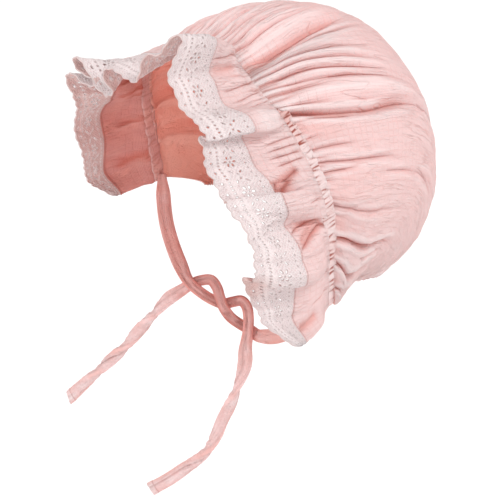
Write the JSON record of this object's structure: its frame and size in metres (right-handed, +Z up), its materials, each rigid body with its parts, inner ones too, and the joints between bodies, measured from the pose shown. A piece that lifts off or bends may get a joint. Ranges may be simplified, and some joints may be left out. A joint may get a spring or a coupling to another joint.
{
  "type": "baby bonnet",
  "caption": "Soft cloth baby bonnet: gathered crown, elastic casing round the face, ruffled frill edged with pierced lace, and cloth ties in a loose knot under the chin.",
  "frame": {"origin": "inside the top of the crown, where the top of the wearer's head meets it", "axes": "+Z up, the face opening looks towards -Y, +X is the wearer's left"},
  "size_m": [0.2053, 0.195, 0.3866],
  "materials": {
    "crown_muslin": "matte crinkled muslin",
    "casing_muslin": "matte shirred muslin",
    "frill_muslin": "matte crinkled muslin",
    "lace": "matte pierced cotton lace",
    "tie_muslin": "matte folded muslin"
  },
  "bodies": {
    "root": {"crown": "crown_muslin", "elastic_casing": "casing_muslin", "frill": "frill_muslin", "lace_trim": "lace", "tie_left": "tie_muslin", "tie_right": "tie_muslin"}
  },
  "joints": []
}
